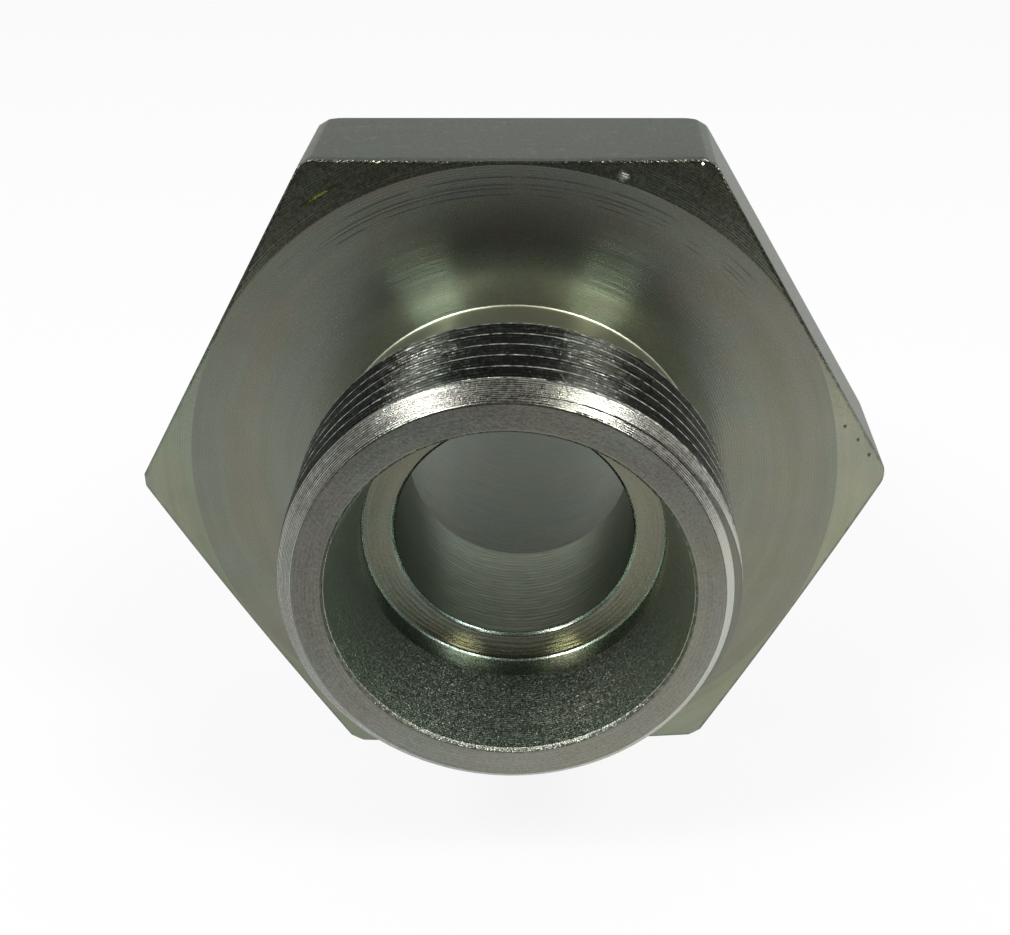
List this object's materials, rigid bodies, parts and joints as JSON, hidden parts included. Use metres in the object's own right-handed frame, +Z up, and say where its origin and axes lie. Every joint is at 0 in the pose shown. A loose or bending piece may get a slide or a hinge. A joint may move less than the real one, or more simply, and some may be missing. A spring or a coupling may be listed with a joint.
{
  "type": "hydraulic adapter",
  "caption": "Straight one-piece hydraulic adapter: male thread with 24 degree cone tube end, hexagon, and male parallel stud end, with a stepped passage right through.",
  "frame": {"origin": "on the passage axis, in the plane of the hexagon's front face", "axes": "+Y along the passage towards the stud end, +Z up, normal to the hexagon's upper flat, +X to the right seen from the tube end"},
  "size_m": [0.047, 0.04, 0.041],
  "materials": {
    "plated_steel": "zinc plated and passivated, greenish grey, satin, with fine turning marks"
  },
  "bodies": {
    "root": {"adapter_body": "plated_steel"}
  },
  "joints": []
}
